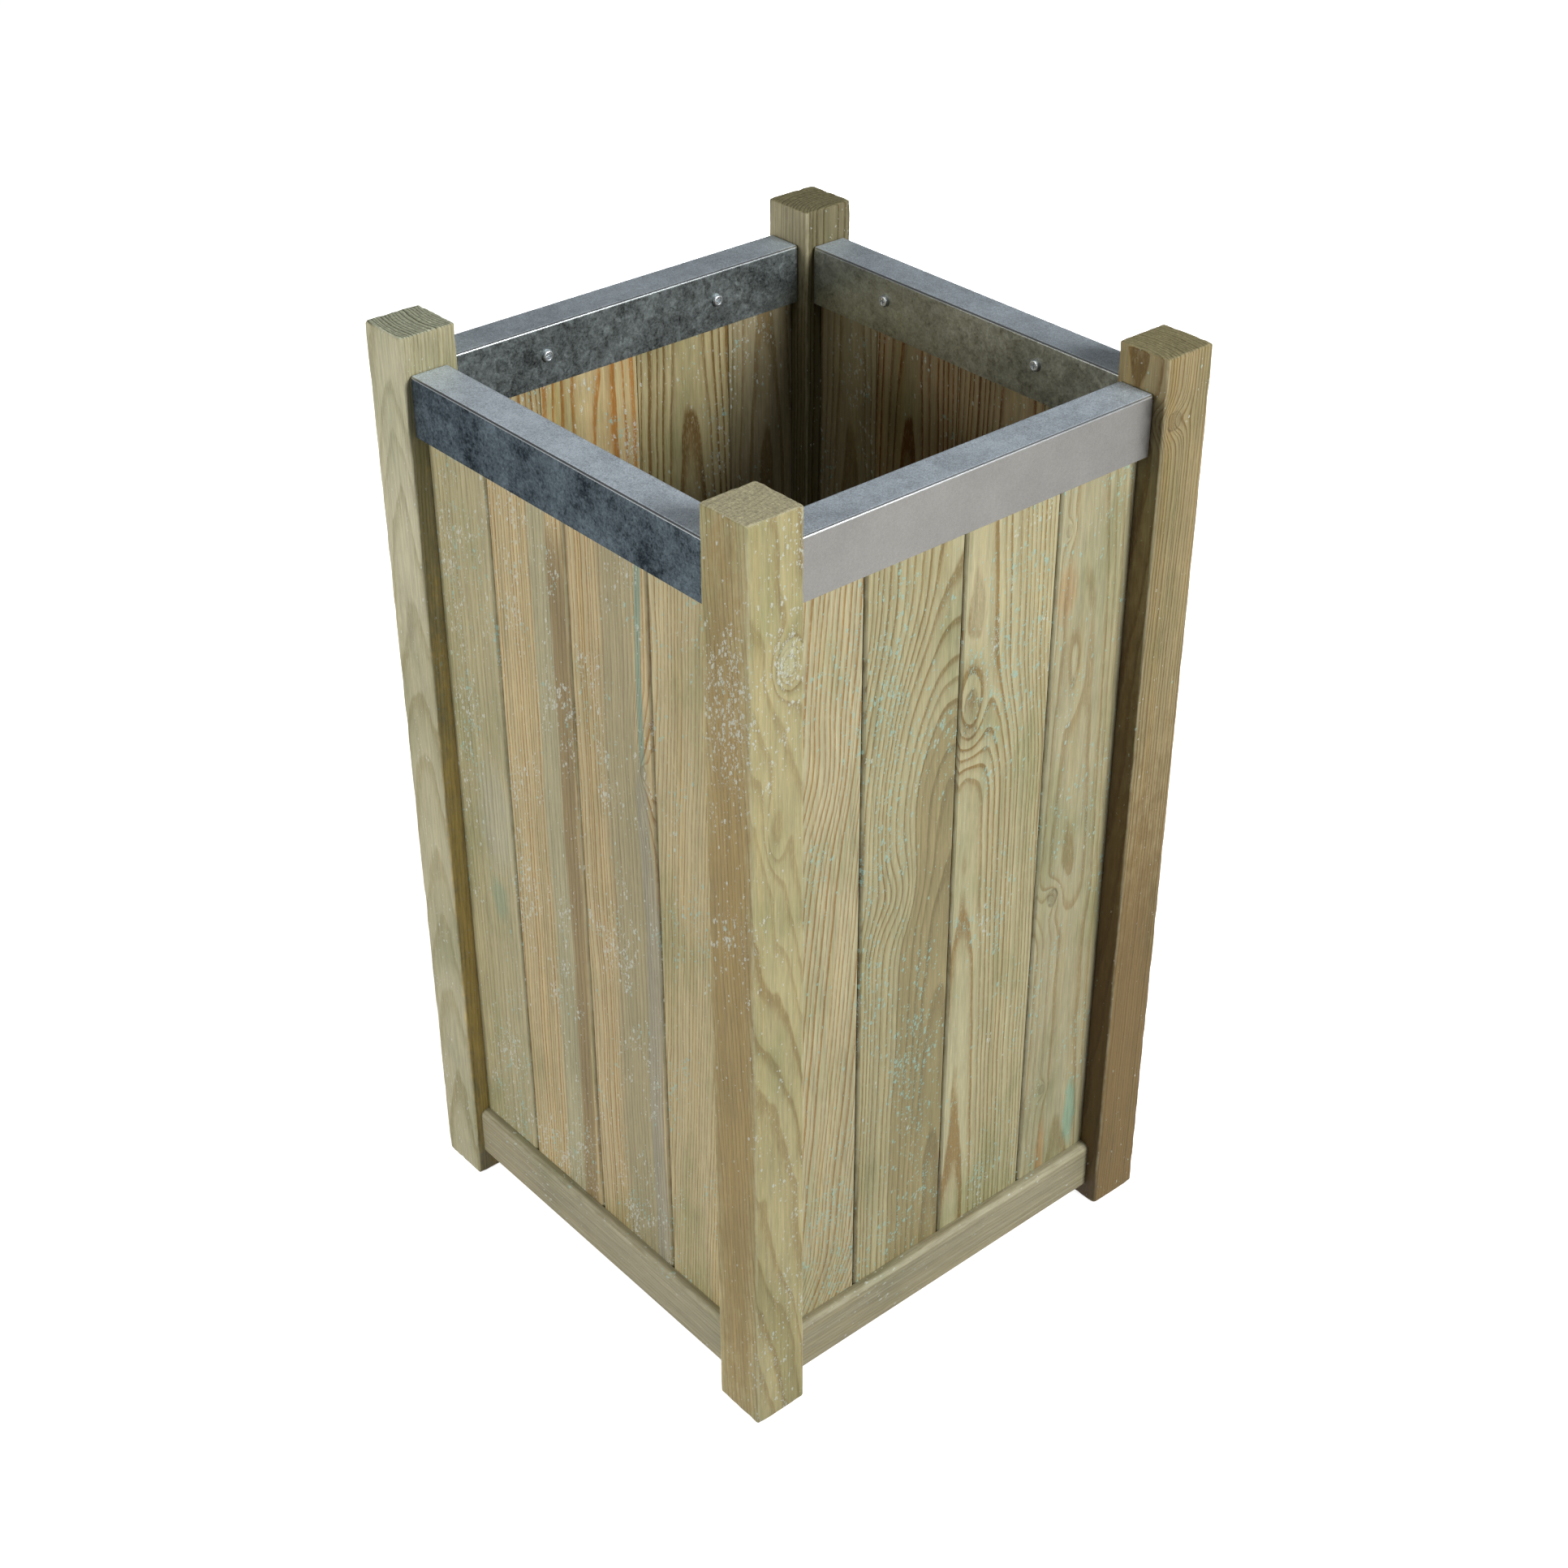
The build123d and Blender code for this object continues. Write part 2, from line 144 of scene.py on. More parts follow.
class Tree:
    """Adds nodes to a material. Each method after feed returns the output socket of the node it adds."""

    def __init__(self, material):
        self.tree = material.node_tree
        self.nodes = material.node_tree.nodes

    def add(self, kind, **settings):
        node = self.nodes.new(kind)
        for key, value in settings.items():
            setattr(node, key, value)
        return node

    def feed(self, socket, value):
        """Links a socket to value, or sets it where value is a number or a colour."""
        if isinstance(value, bpy.types.NodeSocket):
            self.tree.links.new(value, socket)
        elif isinstance(value, (tuple, list)) and len(value) == 3 and socket.type == "RGBA":
            socket.default_value = (*value, 1)
        else:
            socket.default_value = value

    def maths(self, operation, *values, clamp=False):
        node = self.add("ShaderNodeMath", operation=operation, use_clamp=clamp)
        for socket, value in zip(node.inputs, values):
            self.feed(socket, value)
        return node.outputs[0]

    def times(self, a, b, clamp=False):
        return self.maths("MULTIPLY", a, b, clamp=clamp)

    def vary(self, base, pattern, amount):
        """base, moved up and down by a pattern: amount times how far the pattern is above 0.5."""
        return self.maths("MULTIPLY_ADD", self.maths("SUBTRACT", pattern, 0.5), amount, base)

    def vector(self, operation, *values):
        node = self.add("ShaderNodeVectorMath", operation=operation)
        for socket, value in zip(node.inputs, values):
            self.feed(socket, value)
        return node.outputs["Value" if operation in ("DOT_PRODUCT", "LENGTH", "DISTANCE") else "Vector"]

    def scale(self, vector, factor):
        """Multiplies a vector or a colour by a number."""
        node = self.add("ShaderNodeVectorMath", operation="SCALE")
        self.feed(node.inputs[0], vector)
        self.feed(node.inputs["Scale"], factor)
        return node.outputs["Vector"]

    def tinted(self, colour, factors):
        """Multiplies the red, green and blue of a colour by three factors."""
        return self.vector("MULTIPLY", colour, factors)

    def combine(self, x, y, z):
        node = self.add("ShaderNodeCombineXYZ")
        for socket, value in zip(node.inputs, (x, y, z)):
            self.feed(socket, value)
        return node.outputs[0]

    def noise(self, vector, scale, detail=2.0, rough=0.5, warp=0.0, colour=False):
        node = self.add("ShaderNodeTexNoise")
        for name, value in (("Vector", vector), ("Scale", scale), ("Detail", detail), ("Roughness", rough),
                            ("Distortion", warp)):
            self.feed(node.inputs[name], value)
        return node.outputs["Color" if colour else "Fac"]

    def voronoi(self, vector, output="Distance"):
        node = self.add("ShaderNodeTexVoronoi")
        self.feed(node.inputs["Vector"], vector)
        self.feed(node.inputs["Scale"], 1.0)
        return node.outputs[output]

    def white(self, value):
        """A random number for each whole number."""
        node = self.add("ShaderNodeTexWhiteNoise", noise_dimensions="1D")
        self.feed(node.inputs["W"], value)
        return node.outputs["Value"]

    def step(self, value, low, high, to_low=0.0, to_high=1.0):
        """A smooth step from to_low at low to to_high at high."""
        node = self.add("ShaderNodeMapRange", interpolation_type="SMOOTHSTEP")
        for name, number in zip(("Value", "From Min", "From Max", "To Min", "To Max"),
                                (value, low, high, to_low, to_high)):
            self.feed(node.inputs[name], number)
        return node.outputs["Result"]

    def mix(self, share, a, b):
        """Mixes two colours. Inputs 6 and 7 and output 2 are the node's colour sockets."""
        node = self.add("ShaderNodeMix", data_type="RGBA")
        self.feed(node.inputs["Factor"], share)
        self.feed(node.inputs[6], a)
        self.feed(node.inputs[7], b)
        return node.outputs[2]

    def mix_number(self, share, a, b):
        """Mixes two numbers. Inputs 2 and 3 and output 0 are the node's number sockets."""
        node = self.add("ShaderNodeMix", data_type="FLOAT")
        self.feed(node.inputs["Factor"], share)
        self.feed(node.inputs[2], a)
        self.feed(node.inputs[3], b)
        return node.outputs[0]

    def bump(self, height, distance, strength):
        node = self.add("ShaderNodeBump")
        self.feed(node.inputs["Height"], height)
        self.feed(node.inputs["Distance"], distance)
        self.feed(node.inputs["Strength"], strength)
        return node.outputs["Normal"]


def new_material(name):
    """A material with a Principled shader, and the tree to build its patterns in."""
    material = bpy.data.materials.new(name)
    material.use_nodes = True
    shader = material.node_tree.nodes["Principled BSDF"]
    return material, shader, Tree(material)


def srgb(red, green, blue):
    """A screen colour from 0 to 255, as the linear colour that shaders take."""
    def linear(value):
        value /= 255
        return value / 12.92 if value <= 0.04045 else ((value + 0.055) / 1.055) ** 2.4
    return (linear(red), linear(green), linear(blue))


# ---------------------------------------------------------------- timber

# How large the grain's patterns are across, into and along the piece, in millimetres.
FIBRE_SIZE = (0.7, 0.7, 17)
STRAND_SIZE = (2.4, 2.4, 70)
STREAK_SIZE = (9, 9, 420)
CLOUD_SIZE = (70, 70, 150)

# What the wood's colour is multiplied by in dull years, warm streaks, green clouds and dirty joints.
DULL_YEARS = (0.74, 0.74, 0.66)
WARM_STREAKS = (1.04, 0.92, 0.68)
GREEN_CLOUDS = (0.80, 0.88, 0.78)
JOINT_GRIME = (0.36, 0.31, 0.20)

# The grime in the boards' V joints: its rise and its fall with depth from the outer face, in millimetres.
GRIME_RISE = (0.5, 1.8)
GRIME_FALL = (12.4, 11.0)

SALT_WHITE = srgb(212, 219, 210)
SALT_BLUE = srgb(158, 200, 190)
SALT_COVER = 0.78
SALT_CELLS = ((3.0, 0.40), (1.7, 0.42))
WOOD_GLOSS = 0.3
WOOD_RELIEF = 0.0006


class Grain:
    """
    Sawn softwood cut from a trunk, in the piece's own directions and in millimetres.
    a runs across the face, b into the piece and c along the grain.
    arris is 1 on rounded edges along the grain, and end is 1 on faces cut across it.
    """

    def __init__(self, tree, origin, across, inward, along):
        self.t = t = tree
        place = t.add("ShaderNodeTexCoord").outputs["Object"]
        place = t.scale(t.vector("SUBTRACT", place, tuple(Vector(origin) * MM)), 1 / MM)
        self.a = t.vector("DOT_PRODUCT", place, tuple(across))
        self.b = t.vector("DOT_PRODUCT", place, tuple(inward))
        self.c = t.vector("DOT_PRODUCT", place, tuple(along))
        self.abc = t.combine(self.a, self.b, self.c)
        normal = t.add("ShaderNodeNewGeometry").outputs["Normal"]
        side_a = t.maths("ABSOLUTE", t.vector("DOT_PRODUCT", normal, tuple(across)))
        side_b = t.maths("ABSOLUTE", t.vector("DOT_PRODUCT", normal, tuple(inward)))
        self.arris = t.step(t.maths("MINIMUM", side_a, side_b), 0.15, 0.55)
        self.end = t.step(t.maths("ABSOLUTE", t.vector("DOT_PRODUCT", normal, tuple(along))), 0.55, 0.9)

    def noise(self, size, shift=0.0, detail=2.0, rough=0.5):
        """Noise whose features are about size (across, inward, along) millimetres long."""
        t = self.t
        scaled = t.vector("MULTIPLY", self.abc, tuple(1 / s for s in size))
        return t.noise(t.vector("ADD", scaled, (shift, shift * 0.7, shift * 1.3)), 1.0, detail, rough)

    def near(self, centre, size):
        """The distance from centre, counted in size, so that 1 is the surface of an ellipsoid."""
        t = self.t
        off = t.vector("SUBTRACT", self.abc, tuple(centre))
        return t.vector("LENGTH", t.vector("MULTIPLY", off, tuple(1 / s for s in size)))

    def bell(self, centre, size):
        """1 at centre, falling smoothly to about nothing at twice size."""
        t = self.t
        away = self.near(centre, size)
        return t.maths("EXPONENT", t.times(t.times(away, away), -1.0))


def ring_radius(g, pith, lean, bends, swells, ripple, sway, seed):
    """How far a point lies from the trunk's middle, in millimetres, with the trunk's bends and bulges."""
    t = g.t
    middle_a = t.maths("MULTIPLY_ADD", g.c, lean[0], pith[0])
    middle_b = t.maths("MULTIPLY_ADD", g.c, lean[1], pith[1])
    for low, high, move_a, move_b in bends:
        share = t.step(g.c, low, high)
        middle_a = t.maths("MULTIPLY_ADD", share, move_a, middle_a)
        middle_b = t.maths("MULTIPLY_ADD", share, move_b, middle_b)
    drift = t.noise(t.combine(seed, seed, t.times(g.c, 1 / 170)), 1.0, colour=True)
    drift = t.vector("SUBTRACT", drift, (0.5, 0.5, 0.5))
    drift = t.vector("MULTIPLY", drift, (2.4 * sway, 2.4 * sway, 0))
    off = t.vector("SUBTRACT", t.combine(g.a, g.b, 0.0), t.combine(middle_a, middle_b, 0.0))
    radius = t.vector("LENGTH", t.vector("SUBTRACT", off, drift))
    radius = t.vary(radius, g.noise((42, 42, 150), seed, 3.0, 0.55), 3.0 * ripple)
    for centre, size, push in swells:
        radius = t.maths("MULTIPLY_ADD", g.bell(centre, size), push, radius)
    return radius


def late_wood(g, radius, ring, seed):
    """0 in the pale early wood, rising to 1 in the thin late wood at the outer edge of each ring."""
    t = g.t
    count = t.maths("DIVIDE", radius, ring)
    uneven = t.noise(t.combine(t.times(count, 0.31), seed, 0.0), 1.0, 1.0)
    count = t.maths("MULTIPLY_ADD", uneven, 2.2, count)
    part = t.maths("FRACT", count)
    slow_rise = t.step(part, 0.10, 0.90, 0.0, 0.42)
    quick_rise = t.step(part, 0.58, 0.80, 0.0, 0.58)
    late = t.times(t.maths("ADD", slow_rise, quick_rise), t.step(part, 1.0, 0.90))
    late = t.times(late, t.maths("MULTIPLY_ADD", t.white(t.maths("FLOOR", count)), 0.5, 0.5))
    return t.times(late, t.step(g.noise((0.9, 0.9, 5), seed, 2.0, 0.6), 0.28, 0.52, 0.45, 1.12))


def salts(g, late, amount, clusters, seed):
    """Flecks that timber treatment leaves: ragged dashes in clusters, and dotted rows along the rings. 0 to 1."""
    t = g.t
    density = t.step(g.noise((48, 48, 90), seed + 4, 3.0, 0.6), 0.42, 0.74, 0.03, 0.42)
    for centre, size, more in clusters:
        density = t.maths("MULTIPLY_ADD", g.bell(centre, size), more, density)
    gathered = t.step(g.noise((7, 7, 11), seed + 6, 2.0, 0.6), 0.36, 0.62, 0.25, 1.5)
    density = t.times(density, t.times(gathered, amount))

    shove = t.scale(t.vector("SUBTRACT", t.noise(g.abc, 0.8, colour=True), (0.5, 0.5, 0.5)), 2.2)
    ragged = t.vector("ADD", t.combine(t.maths("MULTIPLY_ADD", g.c, -0.16, g.a), g.b, g.c), shove)
    flecks = []
    for size, reach in SALT_CELLS:
        cell = t.vector("MULTIPLY", ragged, (1 / size, 1 / size, 0.50 / size))
        cell = t.vector("ADD", cell, (seed, seed, size))
        lot = t.vector("DOT_PRODUCT", t.voronoi(cell, "Color"), (1, 0, 0))
        span = t.maths("MULTIPLY_ADD", t.maths("SUBTRACT", density, lot), 1.3, 0.22)
        span = t.maths("MINIMUM", span, reach)
        span = t.times(span, t.step(lot, density, t.times(density, 0.9)))
        flecks.append(t.step(t.maths("SUBTRACT", span, t.voronoi(cell)), -0.03, 0.05))
    fleck = t.maths("MAXIMUM", *flecks)
    fleck = t.times(fleck, t.step(g.noise((0.8, 0.8, 1.4), seed), 0.30, 0.50))

    dots = t.step(g.noise((1.3, 1.3, 1.7), seed + 3, 1.0), 0.53, 0.60)
    dotted = t.times(t.step(late, 0.35, 0.75), dots)
    dotted = t.times(dotted, t.step(density, 0.12, 0.45, 0.0, 0.8))
    return t.maths("MAXIMUM", fleck, dotted)


def grained(t, late, colour, amount, darker):
    """A screen colour that the late wood darkens by amount, towards darker times itself."""
    plain = srgb(*colour)
    return t.mix(t.times(late, amount), plain, tuple(v * darker for v in plain))


def with_heart(g, colour, late, radius, streak, heart):
    """Adds heartwood inside a radius. heart: (radius, colour, amount)."""
    t = g.t
    edge, tint, amount = heart
    ragged = t.maths("MULTIPLY_ADD", streak, 6.0, radius)
    return t.mix(t.step(ragged, edge + 5, edge + 1, 0.0, amount), colour, grained(t, late, tint, 0.9, 0.66))


def with_band(g, colour, late, streak, band, seed):
    """Adds a band drawn out along the grain. band: (middle, half width, low, high, colour, amount)."""
    t = g.t
    middle, half, low, high, tint, amount = band
    wander = t.vary(g.a, g.noise((200, 200, 190), seed), 16.0)
    wander = t.vary(wander, streak, 9.0)
    off = t.maths("ABSOLUTE", t.maths("SUBTRACT", wander, middle))
    share = t.step(off, half * 1.25, half * 0.7, 0.0, amount)
    share = t.times(share, t.step(g.c, low - 25, low + 25))
    share = t.times(share, t.step(g.c, high + 25, high - 25))
    return t.mix(share, colour, grained(t, late, tint, 0.8, 0.70))


def with_patch(g, colour, late, patch, seed):
    """Adds a ragged patch of colour: a stain, and on two posts painted shade and painted light. patch: (centre, size,
    colour, amount).
    """
    t = g.t
    centre, size, tint, amount = patch
    ragged = t.maths("MULTIPLY_ADD", g.noise((9, 9, 16), seed, 4.0, 0.7), 1.1, g.near(centre, size))
    return t.mix(t.step(ragged, 1.75, 1.05, 0.0, amount), colour, grained(t, late, tint, 0.8, 0.66))


def with_knot(g, colour, dark, knot, seed):
    """Adds a knot with its own rings and a broken outline. knot: (centre, radius, stretch, darkness)."""
    t = g.t
    centre, r, stretch, darkness = knot
    away = t.maths("MULTIPLY_ADD", g.noise((6, 6, 11), seed), 0.5 * r, g.near(centre, (1, 1, stretch)))
    eye = t.maths("FRACT", t.times(away, 1 / max(1.4, r * 0.26)))
    inside = t.step(away, 1.30 * r, 1.10 * r, 0.0, 0.40 * darkness)
    inside = t.times(inside, t.maths("MULTIPLY_ADD", eye, 0.9, 0.5))
    outline = t.maths("ABSOLUTE", t.maths("SUBTRACT", away, 1.24 * r))
    outline = t.step(outline, 0.8 + 0.10 * r, 0.3, 0.0, 0.75 * darkness)
    outline = t.times(outline, t.step(g.noise((4, 4, 6), seed + 5), 0.34, 0.60, 0.35, 1.0))
    share = t.maths("MAXIMUM", inside, outline)
    return t.mix(share, colour, tuple(v * 0.38 for v in srgb(*dark)))


def timber(name, origin, across, inward, along=UP, pale=(168, 158, 127), dark=(138, 122, 86),
           pith=(0, 60), lean=(0.0, 0.02), ring=4.0, ripple=1.2, sway=2.0, bends=(), swells=(),
           contrast=1.0, years=0.4, warmth=0.35, heart=None, bands=(), patches=(), knots=(),
           flecks=0.8, clusters=(), turquoise=0.4,
           end_pale=(186, 186, 160), end_dark=(104, 102, 74), sawn=0.8, grime=False, seed=0.0):
    """
    A board, rail or post of treated softwood. Lengths are millimetres from origin, and colours go up to 255.
    pale, dark: the early and the late wood. contrast: how dark the late wood gets.
    pith: the trunk's middle, across and inward, at c = 0. lean: its slope along the piece. ring: a ring's width.
    bends: (from, to, across, inward), moves of the trunk's middle between two heights.
    swells: (centre, size, push), places where the rings bulge. ripple, sway: small and slow waves, in millimetres.
    years, warmth: how strongly some groups of rings are dull, and some streaks are warm.
    heart: (radius, colour, amount), darker wood inside that radius.
    bands: (middle, half width, low, high, colour, amount), other colours drawn out along the grain.
    patches: (centre, size, colour, amount), stains, and on two posts painted shade and painted light.
    knots: (centre, radius, stretch, darkness).
    flecks: how much of the surface carries salts. clusters: (centre, size, more), where there are more of them.
    turquoise: how many of the salts are blue. grime: dirt in the V joints between boards.
    end_pale, end_dark, sawn: the colours of the sawn ends, and how clearly they show the rings.
    """
    material, shader, t = new_material(name)
    g = Grain(t, origin, across, inward, along)
    knot_swells = [(centre, (2.0 * r, 2.0 * r, 2.0 * r * stretch), 1.7 * r) for centre, r, stretch, _ in knots]
    radius = ring_radius(g, pith, lean, bends, [*swells, *knot_swells], ripple, sway, seed)
    late = late_wood(g, radius, ring, seed)
    era = t.noise(t.combine(t.times(radius, 1 / (2.6 * ring)), seed, 0.0), 1.0, 1.0)
    fibre = g.noise(FIBRE_SIZE, seed, 3.0, 0.7)
    strand = g.noise(STRAND_SIZE, seed + 8, 3.0, 0.6)
    streak = g.noise(STREAK_SIZE, seed, 3.0, 0.6)
    cloud = g.noise(CLOUD_SIZE, seed + 2, 4.0, 0.6)

    colour = t.mix(t.times(late, 1.25 * contrast, clamp=True), srgb(*pale), srgb(*dark))
    colour = t.mix(t.step(era, 0.52, 0.66, 0.0, years), colour, t.tinted(colour, DULL_YEARS))
    colour = t.mix(t.step(streak, 0.46, 0.72, 0.0, warmth), colour, t.tinted(colour, WARM_STREAKS))
    colour = t.mix(t.step(cloud, 0.52, 0.30, 0.0, 0.8), colour, t.tinted(colour, GREEN_CLOUDS))
    if heart:
        colour = with_heart(g, colour, late, radius, streak, heart)
    for band in bands:
        colour = with_band(g, colour, late, streak, band, seed)
    for patch in patches:
        colour = with_patch(g, colour, late, patch, seed)
    for knot in knots:
        colour = with_knot(g, colour, dark, knot, seed)
    tone = t.vary(t.vary(t.vary(1.0, fibre, 0.95), strand, 0.75), cloud, 0.50)
    colour = t.scale(colour, tone)
    if grime:
        deep = t.times(t.step(g.b, *GRIME_RISE), t.step(g.b, *GRIME_FALL))
        colour = t.mix(deep, colour, t.tinted(colour, JOINT_GRIME))
    # Lighter rounded arrises: partly wear, partly a painted highlight along the edges.
    worn = t.times(g.arris, t.step(g.noise((6, 6, 18), seed + 1, 3.0, 0.6), 0.35, 0.62, 0.25, 0.95))
    colour = t.mix(worn, colour, t.vector("ADD", t.scale(colour, 0.85), (0.16, 0.16, 0.12)))

    fleck = salts(g, late, flecks, clusters, seed)
    blue_from = 0.62 - 0.30 * turquoise
    blue = t.step(g.noise((14, 14, 26), seed + 9, 3.0), blue_from, blue_from + 0.12)
    colour = t.mix(t.times(fleck, SALT_COVER), colour, t.mix(blue, SALT_WHITE, SALT_BLUE))

    end_colour = t.mix(t.times(late, sawn, clamp=True), srgb(*end_pale), srgb(*end_dark))
    pores = g.noise((1.6, 1.6, 1.6), seed, 4.0, 0.8)
    fuzz = g.noise((4.5, 1.4, 3.0), seed + 7, 3.0, 0.7)
    end_colour = t.scale(end_colour, t.times(pores, 2.1))
    end_colour = t.scale(end_colour, t.maths("MULTIPLY_ADD", fuzz, 1.1, 0.45))
    colour = t.mix(g.end, colour, end_colour)

    rough = t.maths("MULTIPLY_ADD", fibre, 0.24, 0.50)
    height = t.maths("MULTIPLY_ADD", late, 0.45, t.times(fibre, 0.35))
    height = t.maths("MULTIPLY_ADD", fleck, 0.25, height)
    height = t.mix_number(g.end, height, pores)
    t.feed(shader.inputs["Base Color"], colour)
    t.feed(shader.inputs["Roughness"], t.maths("MULTIPLY_ADD", fleck, 0.15, rough))
    t.feed(shader.inputs["Normal"], t.bump(height, WOOD_RELIEF, 0.7))
    shader.inputs["Specular IOR Level"].default_value = WOOD_GLOSS
    return material


# ---------------------------------------------------------------- metal

# The painted highlight that the rims' folds are mixed towards.
BEND_HIGHLIGHT = srgb(228, 234, 238)
SHEET_EDGE_TINT = (0.45, 0.47, 0.50, 1)
SHEET_RELIEF = 0.0003


def galvanised(name, outward, outer=(110, 118, 122), top=(196, 209, 219), inner=(118, 127, 129), cloudy=1.0,
               seed=0.0):
    """
    Galvanised sheet with a mottled zinc coat, and a painted highlight: a brighter line where it is folded.
    outer, top, inner: the colours of the outer flange, the top and the inner flange, each with a painted reflection,
    lighter or darker by what that face would mirror. cloudy: how mottled it is.
    """
    material, shader, t = new_material(name)
    place = t.add("ShaderNodeTexCoord").outputs["Object"]
    normal = t.add("ShaderNodeNewGeometry").outputs["Normal"]
    out = t.vector("DOT_PRODUCT", normal, tuple(outward))
    slope = t.vector("DOT_PRODUCT", normal, UP)
    upward = t.step(slope, 0.78, 0.96)
    shifted = t.vector("ADD", place, (seed, seed, seed))
    large = t.noise(shifted, 22.0, 3.0, 0.6)
    blotch = t.noise(shifted, 130.0, 3.0, 0.65, 0.8)
    grain = t.noise(shifted, 480.0, 3.0, 0.75)
    fine = t.noise(shifted, 1300.0, 2.0, 0.7)

    # Painted reflection: each face, outer, inner and top, gets its own colour.
    tone = t.mix(t.step(out, -0.3, 0.3), srgb(*inner), srgb(*outer))
    tone = t.mix(upward, tone, srgb(*top))
    mottle = t.vary(t.vary(t.vary(0.0, large, 1.9), blotch, 1.7), grain, 2.2)
    mottle = t.maths("MULTIPLY_ADD", mottle, t.mix_number(upward, cloudy, 0.30), 1.0)
    mottle = t.vary(mottle, fine, t.mix_number(upward, 0.35 + 0.6 * cloudy, 1.7))
    colour = t.scale(tone, t.maths("MAXIMUM", mottle, 0.25))
    # Painted highlight: where the sheet folds from a side to the top, its colour turns brighter, and it is smoother.
    bend = t.times(t.step(slope, 0.10, 0.35), t.step(slope, 0.96, 0.80))
    colour = t.mix(t.times(bend, 0.60), colour, BEND_HIGHLIGHT)

    rough = t.maths("MULTIPLY_ADD", blotch, 0.30, 0.32)
    t.feed(shader.inputs["Base Color"], colour)
    t.feed(shader.inputs["Metallic"], t.mix_number(upward, 1.0, 0.35))
    t.feed(shader.inputs["Roughness"], t.mix_number(bend, rough, 0.30))
    t.feed(shader.inputs["Normal"], t.bump(grain, SHEET_RELIEF, 0.25))
    shader.inputs["Specular Tint"].default_value = SHEET_EDGE_TINT
    return material


def zinc_plate():
    """Bright zinc for the screws."""
    material, shader, t = new_material("zinc_plate")
    place = t.add("ShaderNodeTexCoord").outputs["Object"]
    fine = t.noise(place, 900.0)
    t.feed(shader.inputs["Base Color"], t.mix(fine, srgb(205, 214, 220), srgb(240, 245, 248)))
    t.feed(shader.inputs["Roughness"], t.maths("MULTIPLY_ADD", fine, 0.2, 0.34))
    shader.inputs["Metallic"].default_value = 1.0
    return material


# ---------------------------------------------------------------- the worn posts

# In millimetres: the radius of a post's long arrises and of its end edges, and the height of a row of faces.
POST_ARRIS = 2.8
END_ARRIS = 2.0
POST_ROW = 5.0
POST_WEAR = 0.8
CORNER_STEPS = 6
FACE_STEPS = 10
END_STEPS = 3
END_SHARES = (0.25, 0.5, 0.72, 0.88)
NIBBLE_DEPTH = 4
CREASE_ANGLE = math.radians(40)


def wave(point, size, seed):
    """Smooth noise from -1 to 1, with features about size millimetres long."""
    return noise.noise(Vector(point) / size + Vector((seed, 2.7 * seed, 0.3 * seed)))


def rounded_square(half, radius):
    """Points round a square with rounded corners, with the way out at each, and 1 where it is on a corner."""
    points = []
    for quarter in range(4):
        turn = Matrix.Rotation(math.radians(90 * quarter), 2)
        for step in range(CORNER_STEPS + 1):
            angle = math.radians(90 * step / CORNER_STEPS)
            way = Vector((math.cos(angle), math.sin(angle)))
            points.append((turn @ (Vector((half - radius, half - radius)) + way * radius), turn @ way, 1.0))
        for step in range(1, FACE_STEPS):
            x = (half - radius) * (1 - 2 * step / FACE_STEPS)
            points.append((turn @ Vector((x, half)), turn @ Vector((0, 1)), 0.0))
    return points


def post_rings(half, height):
    """The height of each ring of a post's mesh, and its share of the full section, from foot to top."""
    foot = [(0.0, share) for share in END_SHARES]
    for step in range(END_STEPS + 1):
        angle = math.radians(90 * step / END_STEPS)
        foot.append((END_ARRIS * (1 - math.cos(angle)), 1 - END_ARRIS * (1 - math.sin(angle)) / half))
    rows = round((height - 2 * END_ARRIS) / POST_ROW)
    shaft = [(END_ARRIS + (height - 2 * END_ARRIS) * row / rows, 1.0) for row in range(1, rows)]
    return foot + shaft + [(height - z, share) for z, share in reversed(foot)]


def closed_faces(count, rings):
    """Quads between rings of count vertices each, with a fan to the first vertex below and to the last above."""
    faces = []
    top = 1 + count * (rings - 1)
    for index in range(count):
        after = (index + 1) % count
        faces.append((0, 1 + after, 1 + index))
        for ring in range(rings - 1):
            low, high = 1 + ring * count, 1 + (ring + 1) * count
            faces.append((low + index, low + after, high + after, high + index))
        faces.append((top + index, top + after, top + count))
    return faces


def add_piece(name, vertices, faces, material, node):
    """A smooth-shaded piece, in millimetres, that stands for a node of the frame."""
    mesh = bpy.data.meshes.new(name)
    mesh.from_pydata([Vector(v) * MM for v in vertices], [], faces)
    mesh.shade_smooth()
    mesh.set_sharp_from_angle(angle=CREASE_ANGLE)
    mesh.materials.append(material)
    piece = bpy.data.objects.new(name, mesh)
    bpy.context.scene.collection.objects.link(piece)
    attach(piece, "root")
    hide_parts(node)


